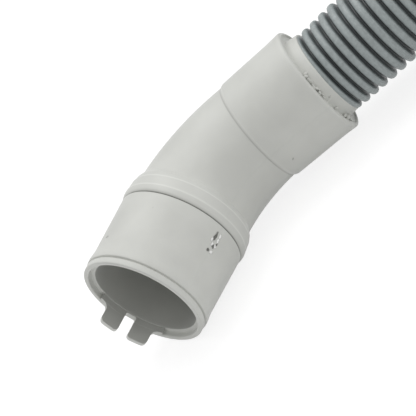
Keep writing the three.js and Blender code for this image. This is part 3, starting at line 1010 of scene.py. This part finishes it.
# Painted shade: the colour darkens from the crests towards the gaps between the ribs.
rib_tone_and_gap_shade = colour_steps(hose_plastic, wavy.outputs[0], [
    (0.0, srgb(164, 172, 172)), (0.28, srgb(159, 167, 167)), (0.36, srgb(132, 139, 140)),
    (0.415, srgb(82, 87, 88)), (0.46, srgb(68, 73, 74))])
grain = add_node(hose_plastic, "TexNoise", {"Vector": place, "Scale": 900, "Detail": 4, "Roughness": 0.65})
mottle = colour_steps(hose_plastic, grain.outputs["Fac"], [
    (0.34, (0.78, 0.78, 0.78, 1)), (0.66, (1.0, 1.0, 1.0, 1))])
plastic_colour = add_node(hose_plastic, "Mix", {"Factor": 1.0, "A": rib_tone_and_gap_shade, "B": mottle},
                          data_type="RGBA", blend_type="MULTIPLY")
connect(hose_plastic, plastic_colour.outputs["Result"], plastic.inputs["Base Color"])
satin = add_node(hose_plastic, "MapRange", {"Value": clouds.outputs["Fac"], "To Min": 0.34, "To Max": 0.5})
connect(hose_plastic, satin.outputs["Result"], plastic.inputs["Roughness"])
bump = add_node(hose_plastic, "Bump", {"Strength": 0.15, "Distance": 0.0001, "Height": grain.outputs["Fac"]})
connect(hose_plastic, bump.outputs["Normal"], plastic.inputs["Normal"])
hose.data.materials.append(hose_plastic)
print("hose material:", hose_plastic.name)

# %% [markdown]
# Two ties of plastic-coated wire hold the parcel together: one round both lanes of the coil, and one round the
# free end and the lane under it. A real one is laid into a gap between two ribs, pulled round and twisted by hand.
# So its path is two half circles in two gaps, the straight stretches between them, and two ends that are wound
# round each other.

# %% Path of a tie
wire_radius = 0.55 * MM
tie_reach = 11.9 * MM  # from the hose's middle to the wire in a gap
twist_length = 12 * MM
twist_turns = 3
gap_places = places_on_curve(gaps)


def nearest_gap(wanted):
    """Place and direction of the gap between two ribs that lies nearest to a place."""
    return min(gap_places, key=lambda found: (found[0] - wanted).length)


def loop_round(first, second):
    """Points of a wire round two lanes of hose that run side by side."""
    points = []
    for (middle, along), (other, other_along) in ((first, second), (second, first)):
        away = middle - other
        away = (away - along * away.dot(along)).normalized()
        side = along.cross(away)
        for i in range(13):
            angle = pi * (i / 12 - 0.5)
            points.append(middle + (away * cos(angle) + side * sin(angle)) * tie_reach)
    return points


def with_twisted_ends(loop, out):
    """Opens a loop where it reaches furthest out and lets both ends run on there, twisted round each other."""
    start = max(range(len(loop)), key=lambda i: loop[i].dot(out))
    onward = loop[(start + 1) % len(loop)] - loop[start - 1]
    onward = (onward - out * onward.dot(out)).normalized()
    across = out.cross(onward)
    first_end, second_end = [], []
    for i in range(8 * twist_turns + 1):
        share = i / (8 * twist_turns)
        offset = (onward * cos(tau * twist_turns * share) + across * sin(tau * twist_turns * share)) * wire_radius
        middle = loop[start] + out * (0.5 * MM + twist_length * share)
        first_end.append(middle + offset)
        second_end.append(middle - offset)
    return first_end[::-1] + loop[start + 1:] + loop[:start] + second_end


def to_coil_centre(place):
    inwards = coil_centre - place
    inwards.z = 0
    return inwards.normalized()


coil_direction = radians(-78)
outer_lane, inner_lane = (
    nearest_gap(coil_centre + Vector((radius * cos(coil_direction), radius * sin(coil_direction), hose_radius)))
    for radius in (outer_turn, outer_turn - turn_step))
free_end = nearest_gap(Vector((coil_centre.x - 15 * MM, coil_centre.y + 131.4 * MM, end_cuff_height)))
lane_below = nearest_gap(Vector((free_end[0].x, free_end[0].y, hose_radius)))
print("lanes are", round((outer_lane[0] - inner_lane[0]).length / MM, 1), "and",
      round((free_end[0] - lane_below[0]).length / MM, 1), "mm apart")

# %% [markdown]
# The wire is drawn along its path vertex by vertex, turned into a curve, given its round section there, and made a
# mesh again. Its coat is soft white plastic.


# %% Ties
def wire(name, points):
    piece = one_vertex(name, points[0])
    for before, after in zip(points, points[1:]):
        bpy.ops.mesh.extrude_region_move(TRANSFORM_OT_translate={"value": after - before})
    done()
    bpy.ops.object.convert(target="CURVE")
    curve = bpy.context.object.data
    curve.bevel_depth = wire_radius
    curve.bevel_resolution = 2
    curve.use_fill_caps = True
    bpy.ops.object.convert(target="MESH")
    piece = bpy.context.object
    edit(piece)
    bpy.ops.mesh.select_all(action="SELECT")
    bpy.ops.mesh.remove_doubles(threshold=0.001 * MM)
    bpy.ops.mesh.normals_make_consistent(inside=False)
    done()
    bpy.ops.object.shade_smooth_by_angle(angle=radians(40))
    print(name, len(piece.data.polygons), "faces")
    return piece


coil_tie = wire("coil_tie", with_twisted_ends(
    loop_round(outer_lane, inner_lane), to_coil_centre(inner_lane[0])))
end_tie = wire("end_tie", with_twisted_ends(
    loop_round(free_end, lane_below), to_coil_centre(free_end[0])))

tie_coat, coat = new_material("white_tie_coat")
place = add_node(tie_coat, "TexCoord").outputs["Object"]
scuffs = add_node(tie_coat, "TexNoise", {"Vector": place, "Scale": 700, "Detail": 3})
coat_colour = colour_steps(tie_coat, scuffs.outputs["Fac"], [(0.35, srgb(206, 206, 202)), (0.6, srgb(228, 228, 225))])
coat_bump = add_node(tie_coat, "Bump", {"Strength": 0.2, "Distance": 0.05 * MM, "Height": scuffs.outputs["Fac"]})
coat_dull = add_node(tie_coat, "MapRange", {"Value": scuffs.outputs["Fac"], "To Min": 0.3, "To Max": 0.5})
connect(tie_coat, coat_colour, coat.inputs["Base Color"])
connect(tie_coat, coat_bump.outputs["Normal"], coat.inputs["Normal"])
connect(tie_coat, coat_dull.outputs["Result"], coat.inputs["Roughness"])
for tie in (coil_tie, end_tie):
    tie.data.materials.clear()
    tie.data.materials.append(tie_coat)

# %% [markdown]
# The floor is a plain white sheet under a white room. It throws light back under the hose, as paper does. Where
# the camera or a reflection looks at it, it is greyer but gives off light of its own, so that the background is
# white without more light on the hose, and a faint shadow stays.

# %% Floor
bpy.ops.object.select_all(action="DESELECT")
bpy.ops.mesh.primitive_plane_add(size=6, location=(0, 0, -0.0001))
floor = bpy.context.object
floor.name = "floor"
floor_material, paint = new_material("floor_white")
rays = add_node(floor_material, "LightPath")
seen = add_node(floor_material, "Math", {
    0: rays.outputs["Is Camera Ray"], 1: rays.outputs["Is Glossy Ray"]}, operation="MAXIMUM")
seen_or_through = add_node(floor_material, "Math", {
    0: seen.outputs[0], 1: rays.outputs["Is Transmission Ray"]}, operation="MAXIMUM")
sheet_colour = add_node(floor_material, "Mix", {
    "Factor": seen_or_through.outputs[0], "A": (0.8, 0.8, 0.8, 1), "B": (0.25, 0.25, 0.25, 1)}, data_type="RGBA")
glow = add_node(floor_material, "Math", {0: seen_or_through.outputs[0], 1: 0.82}, operation="MULTIPLY")
connect(floor_material, sheet_colour.outputs["Result"], paint.inputs["Base Color"])
connect(floor_material, glow.outputs[0], paint.inputs["Emission Strength"])
paint.inputs["Roughness"].default_value = 0.9
paint.inputs["Emission Color"].default_value = (1, 1, 1, 1)
floor.data.materials.append(floor_material)
print("floor at", floor.location.z)

# %% [markdown]
# The light is that of a small photo tent: the room gives most of it, one wide lamp from above shapes the cuff, and
# a weak one from the side opens up the shade at its end. Equal light from all sides would make the cuff look flat.


# %% Light
def soft_lamp(name, place, size, energy):
    """A square lamp that looks at the middle of the cuff."""
    lamp_data = bpy.data.lights.new(name, "AREA")
    lamp_data.energy = energy
    lamp_data.size = size
    lamp = bpy.data.objects.new(name, lamp_data)
    lamp.location = place
    lamp.rotation_euler = Vector(place).to_track_quat("Z", "Y").to_euler()
    bpy.context.scene.collection.objects.link(lamp)


world = bpy.data.worlds.new("soft_room")
bpy.context.scene.world = world
world.use_nodes = True
world.node_tree.nodes["Background"].inputs["Color"].default_value = (1, 1, 1, 1)
world.node_tree.nodes["Background"].inputs["Strength"].default_value = 0.62
soft_lamp("top_light", (0.45, 0.3, 1.4), 1.2, 10)
soft_lamp("side_light", (0.7, -0.95, 0.35), 0.8, 1.8)
bpy.context.scene.view_settings.view_transform = "Standard"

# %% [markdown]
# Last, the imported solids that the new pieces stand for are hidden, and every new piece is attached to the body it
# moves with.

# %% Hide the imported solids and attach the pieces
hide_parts("elbow_cuff")
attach(elbow_cuff, "root")
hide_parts("hose_lead", "hose_coil", "hose_tail")
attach(hose, "root")
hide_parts("end_cuff")
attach(far_cuff, "root")
for tie in (coil_tie, end_tie):
    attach(tie, "root")
